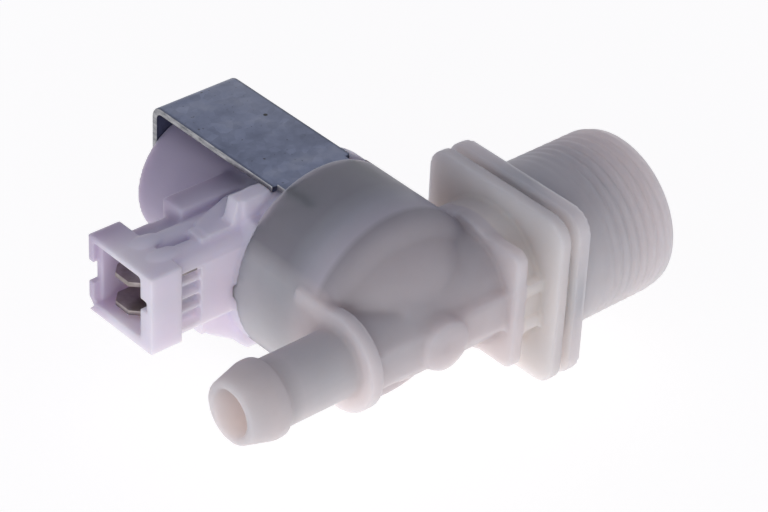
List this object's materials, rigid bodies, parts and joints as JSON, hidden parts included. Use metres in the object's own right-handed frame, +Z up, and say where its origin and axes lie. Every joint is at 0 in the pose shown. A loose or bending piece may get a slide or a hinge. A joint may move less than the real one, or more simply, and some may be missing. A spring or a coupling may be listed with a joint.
{
  "type": "washing machine inlet valve",
  "caption": "Solenoid water inlet valve with a threaded inlet, square double flange, diaphragm chamber, barbed hose spigot and a coil in a U-shaped yoke with a plug-in connector.",
  "frame": {"origin": "on the inlet's flow axis, at the face of the front flange that lies against the panel", "axes": "+X along the inlet thread, out of the machine; +Y along the coil axis, away from the chamber; +Z up as the picture shows it"},
  "size_m": [0.0783, 0.0626, 0.0316],
  "materials": {
    "natural_nylon": "natural translucent polyamide, satin",
    "coil_plastic": "white moulded plastic, satin",
    "inner_plastic": "moulded plastic",
    "filter_plastic": "moulded plastic mesh",
    "rubber": "moulded rubber",
    "zinc_plated_steel": "galvanised sheet steel",
    "stainless_steel": "turned stainless steel",
    "enamelled_copper": "enamelled wire",
    "tinned_brass": "tin plated"
  },
  "bodies": {
    "root": {"valve_body": "natural_nylon", "inlet_filter": "filter_plastic", "regulator_holder": "inner_plastic", "regulator_washer": "rubber", "diaphragm": "rubber", "armature_guide": "inner_plastic", "armature_spring": "stainless_steel", "flux_plate": "zinc_plated_steel", "lower_pole_bush": "zinc_plated_steel", "upper_pole_bush": "zinc_plated_steel", "bobbin": "inner_plastic", "winding": "enamelled_copper", "coil_housing": "coil_plastic", "yoke_bracket": "zinc_plated_steel", "terminal_upper": "tinned_brass", "terminal_lower": "tinned_brass"},
    "plunger": {"armature": "stainless_steel", "pilot_seal": "rubber"},
    "diaphragm_centre": {"diaphragm_insert": "inner_plastic"}
  },
  "joints": [
    {"name": "armature_slide", "type": "slide", "parent": "root", "child": "plunger", "axis": [0, 1, 0], "range_m": [0, 0.003], "stiffness_N_per_m": 100, "springref_m": -0.004, "deforming": ["armature_spring"]},
    {"name": "diaphragm_lift", "type": "slide", "parent": "root", "child": "diaphragm_centre", "axis": [0, 1, 0], "range_m": [0, 0.002], "deforming": ["diaphragm"]}
  ],
  "couplings": [
    {"joint": "diaphragm_lift", "follows": "armature_slide", "ratio": 0.6666}
  ]
}
